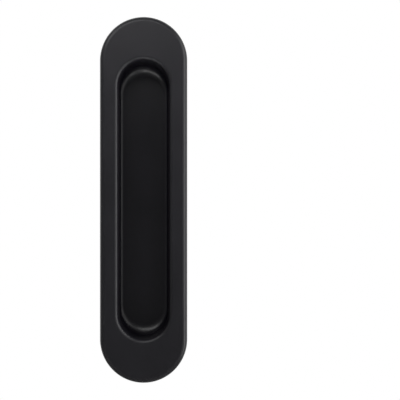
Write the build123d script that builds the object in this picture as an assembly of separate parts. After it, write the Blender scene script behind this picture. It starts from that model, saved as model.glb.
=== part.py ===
from build123d import *
import os
from math import cos, radians, sin, sqrt, tan

# Flush pull for a sliding door: a cast metal cover with a finger recess, snapped over a moulded base.
# Millimetres. The handle stands upright as on the door: X across, Z up, Y into the door.
# The origin is the middle of the handle on the door's face, and the cover looks towards -Y.
# A height is measured from the door's face towards the hand, a depth from the cover's face into the door.

# Cover: outline and wall
cover_length = 160.0
cover_width = 38.2
face_height = 3.5
wall = 1.0
edge_radius = 2.5

# Finger recess, with its draft in degrees
recess_length = 121.7
recess_width = 22.15
recess_depth = 12.0
wall_draft = 1.0
rim_radius = 1.8

# Curve from the recess's wall to its floor: long and elliptical at the ends, a small round one along the sides
floor_curve_height = 4.0
floor_curve_ends = 4.7
floor_curve_sides = 1.6
floor_curve_steps = 5

# Snap nibs inside the cover's skirt, two along each side
nib_radius = 0.45
nib_length = 9.0
nib_height = 0.75
nib_spacing = 76.0

# Clearances round the mounting base
skirt_clearance = 0.2
cup_clearance = 0.3
nib_clearance = 0.15

# Countersunk screw holes, one under each end of the cover
screw_hole_radius = 1.7
screw_head_radius = 3.2

# Sizes that follow from those above
skirt_inside_length = cover_length - 2 * wall
skirt_inside_width = cover_width - 2 * wall
base_thickness = face_height - wall
base_length = skirt_inside_length - 2 * skirt_clearance
base_width = skirt_inside_width - 2 * skirt_clearance
opening_length = recess_length + 2 * (wall + cup_clearance)
opening_width = recess_width + 2 * (wall + cup_clearance)
curve_depth = recess_depth - floor_curve_height


def obround(length, width, height):
    """An upright outline of two half circles and two straight sides, at a height in front of the door's face."""
    rise = (length - width) / 2
    outline = Rectangle(width, 2 * rise) + [Pos(0, end * rise) * Circle(width / 2) for end in (-1, 1)]
    return Plane.XZ.offset(height) * outline


def wall_outline(depth, grow=0.0):
    """The recess cut across its wall at a depth, with the wall moved outwards by grow."""
    inset = depth * tan(radians(wall_draft)) - grow
    return obround(recess_length - 2 * inset, recess_width - 2 * inset, face_height - depth)


def floor_outline(turn):
    """The recess cut across its floor curve, where its ends have turned by an angle towards the floor."""
    drop = floor_curve_height * sin(radians(turn))
    end_reach = floor_curve_ends * (1 - cos(radians(turn)))
    side_drop = max(0.0, drop - floor_curve_height + floor_curve_sides)
    side_reach = floor_curve_sides - sqrt(floor_curve_sides**2 - side_drop**2)
    inset = curve_depth * tan(radians(wall_draft))
    length = recess_length - 2 * (inset + end_reach)
    width = recess_width - 2 * (inset + side_reach)
    return obround(length, width, face_height - curve_depth - drop)


def flat_face(solid, height):
    """The flat face nearest to a height, of those that look at the hand or at the door."""
    return solid.faces().filter_by(Axis.Y).sort_by(lambda face: abs(face.center().Y + height))[0]


def make_flange():
    """The cover's face and the skirt round its edge, hollow towards the door."""
    outside = extrude(obround(cover_length, cover_width, 0), face_height)
    outside = fillet(flat_face(outside, face_height).edges(), edge_radius)
    inside = extrude(obround(skirt_inside_length, skirt_inside_width, 0), base_thickness)
    inside = chamfer(flat_face(inside, base_thickness).edges(), edge_radius - wall)
    return outside - inside


def make_cup():
    """The outside of the cup round the recess, which stands back into the door."""
    back_depth = recess_depth + wall
    cup = loft([wall_outline(wall / 2, wall), wall_outline(back_depth, wall)], ruled=True)
    return fillet(flat_face(cup, face_height - back_depth).edges(), floor_curve_sides + wall)


def make_recess():
    """The finger recess as a solid: a drafted wall that curves into a flat floor."""
    well = loft([wall_outline(0), wall_outline(curve_depth)], ruled=True)
    turns = [90 * step / floor_curve_steps for step in range(floor_curve_steps + 1)]
    return well + loft([floor_outline(turn) for turn in turns])


def nib_bars(radius, length):
    """Round bars along the skirt's inner sides: the nibs, or the notches that take them."""
    bar = Cylinder(radius, length)
    offset = skirt_inside_width / 2
    rise = nib_spacing / 2
    return [Pos(side * offset, -nib_height, end * rise) * bar for side in (-1, 1) for end in (-1, 1)]


def make_cover():
    """The shell: flange and cup, with a rounded rim at the recess and the nibs inside the skirt."""
    shell = make_flange() + make_cup() - make_recess()
    shell = fillet(flat_face(shell, face_height).inner_wires()[0].edges(), rim_radius)
    return shell + nib_bars(nib_radius, nib_length)


def screw_holes():
    """A countersunk hole in the middle of each end of the base, its wide side towards the cover."""
    sink = screw_head_radius - screw_hole_radius
    hole = extrude(Plane.XZ * Circle(screw_hole_radius), base_thickness)
    head = Plane.XZ.offset(base_thickness - sink / 2) * Cone(screw_hole_radius, screw_head_radius, sink)
    rise = (base_length + opening_length) / 4
    return [Pos(0, 0, end * rise) * (hole + head) for end in (-1, 1)]


def make_base():
    """The moulded frame under the flange, screwed to the door round the cup's mortise."""
    frame = extrude(obround(base_length, base_width, 0), base_thickness)
    frame = chamfer(flat_face(frame, base_thickness).edges(), edge_radius - wall)
    frame = frame - extrude(obround(opening_length, opening_width, 0), base_thickness)
    frame = frame - screw_holes()
    return frame - nib_bars(nib_radius + nib_clearance, nib_length + 2 * nib_clearance)


os.makedirs("parts", exist_ok=True)
export_step(make_cover(), "parts/cover.step")
export_step(make_base(), "parts/mounting_base.step")
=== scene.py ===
# %% [markdown]
# # A flush pull for a sliding door
# The handle is a thin cast cover with a finger recess, snapped over a moulded base that is screwed to the
# door. Both arrive as solids in one frame, in metres. The handle stands upright: X goes across, Z up and Y
# into the door. The base keeps its solid. The cover, which is nearly all that shows, is modelled afresh, so
# that its curves are smooth enough for the long reflections on black paint.

# %% Load the handle
import math

import bmesh
import bpy
from mathutils import Matrix, Vector


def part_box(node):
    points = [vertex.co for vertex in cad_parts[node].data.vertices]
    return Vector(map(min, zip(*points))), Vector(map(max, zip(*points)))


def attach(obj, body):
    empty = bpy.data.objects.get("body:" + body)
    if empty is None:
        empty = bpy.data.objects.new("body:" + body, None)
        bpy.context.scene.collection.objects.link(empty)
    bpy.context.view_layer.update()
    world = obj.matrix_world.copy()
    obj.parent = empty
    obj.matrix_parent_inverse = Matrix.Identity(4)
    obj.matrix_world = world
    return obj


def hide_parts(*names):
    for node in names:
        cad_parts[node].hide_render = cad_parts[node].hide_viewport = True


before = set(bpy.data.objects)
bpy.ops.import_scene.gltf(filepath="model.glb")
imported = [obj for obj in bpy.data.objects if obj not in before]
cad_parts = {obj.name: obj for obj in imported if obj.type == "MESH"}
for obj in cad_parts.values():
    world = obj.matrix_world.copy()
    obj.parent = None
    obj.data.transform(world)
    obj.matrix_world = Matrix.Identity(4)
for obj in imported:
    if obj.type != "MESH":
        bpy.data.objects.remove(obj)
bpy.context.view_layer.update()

# %% [markdown]
# ## The cover's sizes
# The outline and the depths come from the cover's own box, so that the new cover can't drift away from the
# solid. The sizes inside that outline are written here once, under the names a die caster would use.

# %% Cover sizes
cover_low, cover_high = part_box("cover")
half_length = cover_high.z
half_width = cover_high.x
face_y = cover_low.y
back_y = cover_high.y
door_y = 0.0
wall = 0.001
edge_radius = 0.0025
rim_radius = 0.0018
recess_half_length = 0.06085
recess_half_width = 0.011075
recess_floor_y = back_y - wall
wall_draft = math.radians(1.0)
wall_slope = math.tan(wall_draft)
floor_curve_height = 0.004
floor_curve_ends = 0.0047
floor_curve_sides = 0.0016
print("recess depth in mm:", round(1000 * (recess_floor_y - face_y), 2))

# %% [markdown]
# ## Rings
# Every cross section of the cover is an obround, two half circles joined by straight sides. A circle becomes
# one when its upper and lower halves are pulled apart. So the cover can grow as one shell: a ring is
# extruded, scaled to the next radius and pulled to the next length, as one does by hand with E, S and G in
# edit mode. A lathe-like spin can't make this shape, because it isn't round, and a cut solid has no neat
# quads to round off.

# %% Ring helpers
ring_points = 192
quarter_turn = math.pi / 2


def ring(reach, radius, y):
    """An obround cross section: how far it reaches up and down, the radius of its ends, and its depth."""
    return {"radius": radius, "rise": reach - radius, "y": y}


def reshape(shape, verts, old, new):
    """Turn a ring of vertices from one cross section into the next, each half about its own centre."""
    grow = new["radius"] / old["radius"]
    for end in (-1, 1):
        half = [vert for vert in verts if vert.co.z * end > 0]
        bmesh.ops.translate(shape, verts=half, vec=(0, 0, -end * old["rise"]))
        bmesh.ops.scale(shape, verts=half, vec=(grow, 1, grow))
        bmesh.ops.translate(shape, verts=half, vec=(0, new["y"] - old["y"], end * new["rise"]))


def first_ring(shape, section):
    """A capped circle, stood upright and pulled apart. Turned half a step, it has no point on the waist."""
    half_step = Matrix.Rotation(math.pi / ring_points, 4, "Y")
    upright = Matrix.Translation((0, section["y"], 0)) @ half_step @ Matrix.Rotation(quarter_turn, 4, "X")
    made = bmesh.ops.create_circle(
        shape, cap_ends=True, segments=ring_points, radius=section["radius"], matrix=upright)
    circle = ring(section["radius"], section["radius"], section["y"])
    reshape(shape, made["verts"], circle, section)
    return [edge for edge in shape.edges if edge.is_boundary]


def next_ring(shape, edges, old, new):
    """Extrude an open ring and give the new one its own cross section."""
    made = bmesh.ops.extrude_edge_only(shape, edges=edges)["geom"]
    verts = [item for item in made if isinstance(item, bmesh.types.BMVert)]
    reshape(shape, verts, old, new)
    return [item for item in made if isinstance(item, bmesh.types.BMEdge) and item.is_boundary]


print("points in a ring:", ring_points)

# %% [markdown]
# ## Recess, from its floor to its rim
# The floor is flat, and the wall leans out by one degree so that the casting leaves its die. Between them
# the metal curves. That curve is long and elliptical at the two ends and a small fillet along the sides,
# which is what bends the highlight at each end into a crescent and draws it out into a thin line along the
# floor. A bevel has one width all the way round, so this curve is made from rings instead. One more ring
# stands a little below the rim. Deeper than that ring the recess gets painted shade and a smoother gloss,
# which fade out between it and the rim.

# %% Recess sections
floor_curve_steps = 24
# Below this depth the recess gets its full painted shade and smoother gloss; towards the rim both fade out.
recess_shade_depth = 0.003


def recess_wall(y, grow=0.0):
    """The recess cut across its leaning wall, or the back of that wall with grow as its thickness."""
    inset = (y - face_y) * wall_slope - grow
    return ring(recess_half_length - inset, recess_half_width - inset, y)


def floor_curve(turn):
    """The recess cut across its floor curve, where its ends have turned by an angle towards the floor."""
    start_y = recess_floor_y - floor_curve_height
    drop = floor_curve_height * math.sin(turn)
    end_reach = floor_curve_ends * (1 - math.cos(turn))
    side_drop = max(0.0, drop - floor_curve_height + floor_curve_sides)
    side_reach = floor_curve_sides - math.sqrt(floor_curve_sides**2 - side_drop**2)
    inset = (start_y - face_y) * wall_slope
    reach = recess_half_length - inset - end_reach
    radius = recess_half_width - inset - side_reach
    return ring(reach, radius, start_y + drop)


turns = [quarter_turn * step / floor_curve_steps for step in range(floor_curve_steps, -1, -1)]
recess_sections = [floor_curve(turn) for turn in turns]
recess_sections.append(recess_wall(face_y + recess_shade_depth))
print("sections in the recess:", len(recess_sections))

# %% [markdown]
# ## Face, skirt and back
# These sections are only the corners of the shell, in the order in which a finger would pass them: over the
# rim, across the face, down the skirt to the door, up inside the skirt and along the back of the cup. Their
# roundings could be more rings, as on the floor's curve. But each has one radius all the way round, so the
# Bevel operator can make them afterwards from a single number.

# %% Corner sections
skirt_chamfer = edge_radius - wall
underside_y = face_y + wall


def offset_outline(inset, y):
    """The cover's outline, moved inwards."""
    return ring(half_length - inset, half_width - inset, y)


corner_sections = {
    "rim": recess_wall(face_y),
    "edge": offset_outline(0.0, face_y),
    "foot": offset_outline(0.0, door_y),
    "inner_foot": offset_outline(wall, door_y),
    "skirt_top": offset_outline(wall, underside_y + skirt_chamfer),
    "underside": offset_outline(wall + skirt_chamfer, underside_y),
    "cup_root": recess_wall(underside_y, wall),
    "cup_back": recess_wall(back_y, wall),
}
print("corners:", ", ".join(corner_sections))

# %% [markdown]
# ## Growing the shell
# The shell starts as the capped floor of the recess and ends as a second cap, the back of the cup. Solidify
# could thicken an open sheet instead, but the back of this casting doesn't follow its front everywhere. As
# one closed surface, the wall has its true thickness and nothing has to be joined afterwards. The rings of
# the recess also get a number of their own, an attribute called recess_shade_and_gloss, which tells the
# paint where to lay painted shade in the hollow and make it a little glossier.

# %% Grow the shell
cover_shape = bmesh.new()
# A vertex attribute that tells the paint where to lay painted shade and a smoother gloss in the recess.
recess_shade_and_gloss = cover_shape.verts.layers.float.new("recess_shade_and_gloss")
section = recess_sections[0]
open_edges = first_ring(cover_shape, section)
for following in recess_sections[1:]:
    open_edges = next_ring(cover_shape, open_edges, section, following)
    section = following
recess_verts = list(cover_shape.verts)
corner_edges = {}
for name, following in corner_sections.items():
    open_edges = next_ring(cover_shape, open_edges, section, following)
    corner_edges[name] = open_edges
    section = following
bmesh.ops.contextual_create(cover_shape, geom=open_edges)
bmesh.ops.recalc_face_normals(cover_shape, faces=cover_shape.faces)
# Every ring of the recess gets the full mark for painted shade and gloss.
for vert in recess_verts:
    vert[recess_shade_and_gloss] = 1.0
print("open edges left:", sum(edge.is_boundary for edge in cover_shape.edges))

# %% [markdown]
# ## Rounding its corners
# Paint gathers on corners and light catches on them, so none of them is sharp. The rim and the outer edge
# have the radii that the handle shows. The corners behind get the small break that a casting has after
# tumbling. The more a rounding shows, the more segments it gets.

# %% Round the corners
casting_break = 0.00015
cup_radius = floor_curve_sides + wall
hidden_corners = ["foot", "inner_foot", "skirt_top", "underside", "cup_root"]
roundings = [
    {"radius": rim_radius, "segments": 12, "corners": ["rim"]},
    {"radius": edge_radius, "segments": 16, "corners": ["edge"]},
    {"radius": cup_radius, "segments": 10, "corners": ["cup_back"]},
    {"radius": casting_break, "segments": 3, "corners": hidden_corners},
]
for rounding in roundings:
    edges = [edge for name in rounding["corners"] for edge in corner_edges[name]]
    bmesh.ops.bevel(cover_shape, geom=edges, offset=rounding["radius"], offset_type="OFFSET", affect="EDGES",
                    segments=rounding["segments"], profile=0.5, material=-1, clamp_overlap=False)
print("faces on the shell:", len(cover_shape.faces))

# %% [markdown]
# ## Snap nibs
# Four low ribs inside the skirt click into notches in the base and hold the cover on. They could be drawn
# out of the skirt's own faces, but that would break up its even rings. So each is a round bar, half sunk in
# the skirt, with softened ends. A cone with two equal radii is how bmesh makes a cylinder. Only its caps
# have as many corners as the bar has sides, so that is how they are found.

# %% Snap nibs
nib_radius = 0.00045
nib_length = 0.009
nib_y = -0.00075
nib_rise = 0.038
nib_sides = 24
nib_softening = 0.0001
nib_softening_steps = 2


def add_nib(shape, side, end):
    """One nib, on the left or right side of the skirt and towards its upper or lower end."""
    place = Matrix.Translation((side * (half_width - wall), nib_y, end * nib_rise))
    bar = bmesh.ops.create_cone(shape, cap_ends=True, segments=nib_sides, radius1=nib_radius,
                                radius2=nib_radius, depth=nib_length, matrix=place)
    caps = {face for vert in bar["verts"] for face in vert.link_faces if len(face.verts) == nib_sides}
    edges = [edge for cap in caps for edge in cap.edges]
    bmesh.ops.bevel(shape, geom=edges, offset=nib_softening, offset_type="OFFSET", affect="EDGES",
                    segments=nib_softening_steps, profile=0.5, material=-1)


for side in (-1, 1):
    for end in (-1, 1):
        add_nib(cover_shape, side, end)
print("faces with nibs:", len(cover_shape.faces))

# %% [markdown]
# ## The cover as an object
# Smooth shading alone would let the roundings bleed into the flat face and make it look like a pillow. Sharp
# edges would stop that, but they would also break the highlights that run over the roundings. A Weighted
# Normal modifier lets the larger faces at each vertex weigh more, so flats stay flat and only the roundings
# turn.

# %% Cover object
for face in cover_shape.faces:
    face.smooth = True
cover_mesh = bpy.data.meshes.new("cast_cover")
cover_shape.to_mesh(cover_mesh)
cover_shape.free()
cover = bpy.data.objects.new("cast_cover", cover_mesh)
bpy.context.scene.collection.objects.link(cover)
cover.modifiers.new("flat_faces", "WEIGHTED_NORMAL")
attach(cover, "root")
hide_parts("cover")
print("cover vertices:", len(cover_mesh.vertices))

# %% [markdown]
# ## Helpers for finishes
# A finish is a small tree of nodes: noise for what is uneven, a range or a ramp that turns the noise into
# roughness or colour, and bumps for relief. Pictures of real surfaces would do as well, but noise has no
# seams and needs no unwrapping. Each helper adds such a node and returns its output, so that a finish reads
# like a recipe. The noise reads Object coordinates, which are metres on the handle itself. Its scale is
# therefore a number of waves to the metre, and it stays on the handle when the handle is moved.

# %% Helpers for finishes
noise_low = 0.3
noise_high = 0.7


def new_material(name):
    """A material with its node tree, its shader, and a place to read Object coordinates from."""
    material = bpy.data.materials.new(name)
    material.use_nodes = True
    tree = material.node_tree
    coordinates = tree.nodes.new("ShaderNodeTexCoord")
    return material, tree, tree.nodes["Principled BSDF"], coordinates.outputs["Object"]


def noise(tree, place, waves, detail):
    """A noise pattern with a number of waves to the metre."""
    node = tree.nodes.new("ShaderNodeTexNoise")
    node.inputs["Scale"].default_value = waves
    node.inputs["Detail"].default_value = detail
    tree.links.new(place, node.inputs["Vector"])
    return node.outputs["Fac"]


def blend_numbers(tree, pattern, low, high):
    """Go from a low to a high number along the middle of a noise pattern, where most of it lies."""
    node = tree.nodes.new("ShaderNodeMapRange")
    node.inputs["From Min"].default_value = noise_low
    node.inputs["From Max"].default_value = noise_high
    node.inputs["To Min"].default_value = low
    node.inputs["To Max"].default_value = high
    tree.links.new(pattern, node.inputs["Value"])
    return node.outputs["Result"]


def blend_colours(tree, pattern, dark, light):
    """Go from a dark to a light colour along the middle of a noise pattern."""
    node = tree.nodes.new("ShaderNodeValToRGB")
    start, end = node.color_ramp.elements
    start.position = noise_low
    start.color = (*dark, 1.0)
    end.position = noise_high
    end.color = (*light, 1.0)
    tree.links.new(pattern, node.inputs["Fac"])
    return node.outputs["Color"]


def mix_along(tree, amount, start, end):
    """Go from one blend to another, both of colours or both of numbers, by an amount from 0 to 1."""
    node = tree.nodes.new("ShaderNodeMix")
    node.data_type = "RGBA" if start.type == "RGBA" else "FLOAT"
    ends = [socket for socket in node.inputs if socket.type == start.type and socket.name in ("A", "B")]
    tree.links.new(amount, node.inputs["Factor"])
    tree.links.new(start, ends[0])
    tree.links.new(end, ends[1])
    return next(socket for socket in node.outputs if socket.type == start.type)


def bumps(tree, heights):
    """Stack bumps, each a pattern with its height in metres, and return the bent normal."""
    normal = None
    for pattern, height in heights:
        node = tree.nodes.new("ShaderNodeBump")
        node.inputs["Strength"].default_value = 1.0
        node.inputs["Distance"].default_value = height
        tree.links.new(pattern, node.inputs["Height"])
        if normal:
            tree.links.new(normal, node.inputs["Normal"])
        normal = node.outputs["Normal"]
    return normal


print("noise is used from", noise_low, "to", noise_high)

# %% [markdown]
# ## Satin black paint
# The cover is powder coated: nearly black with a cold tint, and satin rather than glossy. Powder melts into
# a film with a faint orange peel, waves of a millimetre or two, and a much finer grain on top of them. Both
# are bumps of a few micrometres. Colour and roughness drift a little too, because the film isn't equally
# thick all over. Inside the recess the black is painted darker, which is painted shade, and the paint is a
# little smoother there. Object coordinates can't tell the inside of the wall from its back, so the paint
# finds the recess by the recess_shade_and_gloss attribute.

# %% Satin black paint
micrometre = 0.000001
paint_specular = 0.5
film_waves = 55.0
peel_waves = 650.0
peel_height = 8 * micrometre
grain_waves = 5200.0
grain_height = 1.2 * micrometre
cover_blacks = [(0.0093, 0.0088, 0.0118), (0.0112, 0.0106, 0.0142)]
# The darker blacks for the recess are painted shade in the hollow.
painted_shade_blacks = [(0.0030, 0.0025, 0.0053), (0.0037, 0.0030, 0.0063)]
cover_roughness = [0.37, 0.43]
recess_roughness = [0.32, 0.37]

paint, tree, shader, place = new_material("satin_black_powder_coat")
shader.inputs["Specular IOR Level"].default_value = paint_specular
film = noise(tree, place, film_waves, detail=2.0)
orange_peel = noise(tree, place, peel_waves, detail=1.0)
powder_grain = noise(tree, place, grain_waves, detail=2.0)
# This node reads where the recess's painted shade and smoother gloss go.
recess_mark = tree.nodes.new("ShaderNodeAttribute")
recess_mark.attribute_name = "recess_shade_and_gloss"
shade_and_gloss_amount = recess_mark.outputs["Fac"]
colours = [blend_colours(tree, film, *blacks) for blacks in (cover_blacks, painted_shade_blacks)]
roughnesses = [blend_numbers(tree, film, *ends) for ends in (cover_roughness, recess_roughness)]
relief = bumps(tree, [(orange_peel, peel_height), (powder_grain, grain_height)])
# The recess is mixed towards the darker blacks as painted shade.
tree.links.new(mix_along(tree, shade_and_gloss_amount, *colours), shader.inputs["Base Color"])
tree.links.new(mix_along(tree, shade_and_gloss_amount, *roughnesses), shader.inputs["Roughness"])
tree.links.new(relief, shader.inputs["Normal"])
cover_mesh.materials.append(paint)
print("paint nodes:", len(tree.nodes))

# %% [markdown]
# ## Moulded base
# The base only shows from behind. It is black nylon with the even, fine sparkle that a spark-eroded mould
# leaves on plastic: rougher than the paint, and a shade greyer. It could be modelled afresh, like the cover,
# but its solid already has the right shape, so it keeps that and only gets this finish.

# %% Base plastic
plastic_specular = 0.4
flow_waves = 90.0
spark_waves = 3200.0
spark_height = 12 * micrometre
plastic_blacks = [(0.016, 0.016, 0.017), (0.022, 0.022, 0.0232)]
plastic_roughness = [0.55, 0.66]

plastic, tree, shader, place = new_material("moulded_black_nylon")
shader.inputs["Specular IOR Level"].default_value = plastic_specular
flow = noise(tree, place, flow_waves, detail=3.0)
spark_texture = noise(tree, place, spark_waves, detail=3.0)
relief = bumps(tree, [(spark_texture, spark_height)])
tree.links.new(blend_colours(tree, flow, *plastic_blacks), shader.inputs["Base Color"])
tree.links.new(blend_numbers(tree, flow, *plastic_roughness), shader.inputs["Roughness"])
tree.links.new(relief, shader.inputs["Normal"])
base_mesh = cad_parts["mounting_base"].data
base_mesh.materials.clear()
base_mesh.materials.append(plastic)
print("plastic nodes:", len(tree.nodes))

# %% [markdown]
# ## Camera
# The handle is seen straight from the front and close by, so the walls of its recess show in perspective.
# The camera stays square to the door, and its lens shift moves the handle to its place left of the middle,
# as a view camera does. Turning the camera instead would make the straight sides lean. The focal length
# follows from how much of the handle one pixel covers at the depth of its outline, just behind the face.

# %% Camera
picture_pixels = 400
sensor_mm = 36.0
distance = 0.250
camera_right = 0.005
camera_up = -0.002
pixel_size = 0.0004373
outline_depth = 0.002
centre_across = 143.6
centre_down = 199.9

lens = bpy.data.cameras.new("camera")
lens.sensor_width = sensor_mm
lens.lens = sensor_mm * (distance + outline_depth) / (picture_pixels * pixel_size)
lens.shift_x = 0.5 - (centre_across + camera_right / pixel_size) / picture_pixels
lens.shift_y = (centre_down - camera_up / pixel_size) / picture_pixels - 0.5
camera = bpy.data.objects.new("camera", lens)
bpy.context.scene.collection.objects.link(camera)
camera.location = (camera_right, face_y - distance, camera_up)
camera.rotation_euler = (quarter_turn, 0, 0)
bpy.context.scene.camera = camera
print("lens in mm:", round(lens.lens, 2), "shift:", round(lens.shift_x, 3), round(lens.shift_y, 3))

# %% [markdown]
# ## Wall and floor
# A white wall stands behind the handle and a pale floor lies below it. One curved sweep would hide the line
# between them, but as two flat sheets they can have two finishes. The floor is plain pale paint. So is the
# wall for the light that bounces about, but what the camera and the reflections see of it is pure white.
# That makes the background white without more light on the handle.

# %% Wall and floor
wall_y = 0.6
floor_z = -0.65
room_reach = 2.0
stage_colour = (0.8, 0.8, 0.8, 1.0)
stage_roughness = 0.9


def stage_sheet(name, middle, turn):
    """A large flat sheet for the studio, moved into place, with its node tree."""
    shape = bmesh.new()
    place = Matrix.Translation(middle) @ Matrix.Rotation(turn, 4, "X")
    bmesh.ops.create_grid(shape, x_segments=1, y_segments=1, size=room_reach, matrix=place)
    mesh = bpy.data.meshes.new(name)
    shape.to_mesh(mesh)
    shape.free()
    sheet = bpy.data.objects.new(name, mesh)
    bpy.context.scene.collection.objects.link(sheet)
    material = bpy.data.materials.new(name)
    material.use_nodes = True
    shader = material.node_tree.nodes["Principled BSDF"]
    shader.inputs["Base Color"].default_value = stage_colour
    shader.inputs["Roughness"].default_value = stage_roughness
    mesh.materials.append(material)
    return material.node_tree


def show_white(tree):
    """Let the camera, reflections and clear things see a sheet as pure white."""
    rays = tree.nodes.new("ShaderNodeLightPath")
    seen = rays.outputs["Is Camera Ray"]
    for kind in ("Is Glossy Ray", "Is Transmission Ray"):
        either = tree.nodes.new("ShaderNodeMath")
        either.operation = "MAXIMUM"
        tree.links.new(seen, either.inputs[0])
        tree.links.new(rays.outputs[kind], either.inputs[1])
        seen = either.outputs["Value"]
    white = tree.nodes.new("ShaderNodeEmission")
    mix = tree.nodes.new("ShaderNodeMixShader")
    tree.links.new(seen, mix.inputs["Fac"])
    tree.links.new(tree.nodes["Principled BSDF"].outputs["BSDF"], mix.inputs[1])
    tree.links.new(white.outputs["Emission"], mix.inputs[2])
    tree.links.new(mix.outputs["Shader"], tree.nodes["Material Output"].inputs["Surface"])


show_white(stage_sheet("white_wall", (0, wall_y, floor_z + room_reach), quarter_turn))
stage_sheet("pale_floor", (0, wall_y - room_reach, floor_z), 0.0)
print("wall at", wall_y, "floor at", floor_z)

# %% [markdown]
# ## Room
# The room beyond the wall and the floor is the world, a quiet grey. A flat black face mirrors the part of it
# behind the camera, so that part is darker, or the face would look washed out. The rest is paler, so that
# the handle stands out from it when it is seen from another side. The world reads the direction of each ray,
# and two angles from the line to the camera say where the dark part ends and the pale part starts.

# %% Room
front_grey = 0.15
side_grey = 0.25
dark_angle = math.radians(26)
pale_angle = math.radians(53)

world = bpy.data.worlds.new("studio")
bpy.context.scene.world = world
world.use_nodes = True
tree = world.node_tree
direction = tree.nodes.new("ShaderNodeTexCoord")
axes = tree.nodes.new("ShaderNodeSeparateXYZ")
grey = tree.nodes.new("ShaderNodeMapRange")
grey.interpolation_type = "SMOOTHSTEP"
grey.inputs["From Min"].default_value = -math.cos(dark_angle)
grey.inputs["From Max"].default_value = -math.cos(pale_angle)
grey.inputs["To Min"].default_value = front_grey
grey.inputs["To Max"].default_value = side_grey
tree.links.new(direction.outputs["Generated"], axes.inputs["Vector"])
tree.links.new(axes.outputs["Y"], grey.inputs["Value"])
tree.links.new(grey.outputs["Result"], tree.nodes["Background"].inputs["Color"])
print("room from", front_grey, "to", side_grey)

# %% [markdown]
# ## Lamps
# Black paint shows its shape only by what it reflects. The world could hold the bright parts too, but lamps
# can be aimed one by one. A tall softbox on the right draws the bright line down the right edge, one above
# puts the crescent at the lower end of the recess, and a weak one nearer to the camera keeps the face open.
# The crescent at the upper end needs light from below, which would also light the lower edge. So the strip
# and the two spots there have honeycombs, which narrow their beams, and are aimed at the upper end. A lamp
# is placed as on a clock face round the camera: how far off the axis, and how far clockwise from the top, in
# degrees. Its power follows from its area, so that it can change size without getting brighter.

# %% Lamps
softbox_distance = 0.5
upper_end = 0.085
bare = 180
honeycomb = 24


def softbox(name, off_axis, clock, width, height, brightness, aim_up=0.0, beam=bare):
    """A rectangular lamp, placed by two angles and aimed at a height on the handle."""
    tilt = math.radians(off_axis)
    hour = math.radians(clock)
    bearing = Vector((math.sin(tilt) * math.sin(hour), -math.cos(tilt), math.sin(tilt) * math.cos(hour)))
    lamp = bpy.data.lights.new(name, "AREA")
    lamp.shape = "RECTANGLE"
    lamp.size = width
    lamp.size_y = height
    lamp.energy = math.pi * width * height * brightness
    lamp.spread = math.radians(beam)
    box = bpy.data.objects.new(name, lamp)
    bpy.context.scene.collection.objects.link(box)
    box.location = softbox_distance * bearing
    target = Vector((0, 0, aim_up))
    box.rotation_euler = (target - box.location).to_track_quat("-Z", "Y").to_euler()
    box.visible_camera = False
    print(name, "watts:", round(lamp.energy, 2))


softbox("right_softbox", off_axis=68, clock=85, width=0.18, height=0.80, brightness=3.9)
softbox("front_fill", off_axis=40, clock=72, width=0.12, height=0.50, brightness=1.2)
softbox("upper_softbox", off_axis=48, clock=338, width=0.50, height=0.18, brightness=2.9)
softbox("lower_strip", off_axis=40, clock=190, width=0.90, height=0.08, brightness=0.20,
        aim_up=upper_end, beam=honeycomb)
softbox("lower_left_spot", off_axis=46, clock=228, width=0.20, height=0.16, brightness=0.11,
        aim_up=upper_end, beam=honeycomb)
softbox("lower_right_spot", off_axis=46, clock=138, width=0.20, height=0.16, brightness=0.08,
        aim_up=upper_end, beam=honeycomb)

# %% [markdown]
# ## Colour view
# Standard view keeps colours as they were written. The new cover has to fill the same box as its solid.

# %% Colour view
bpy.context.scene.view_settings.view_transform = "Standard"
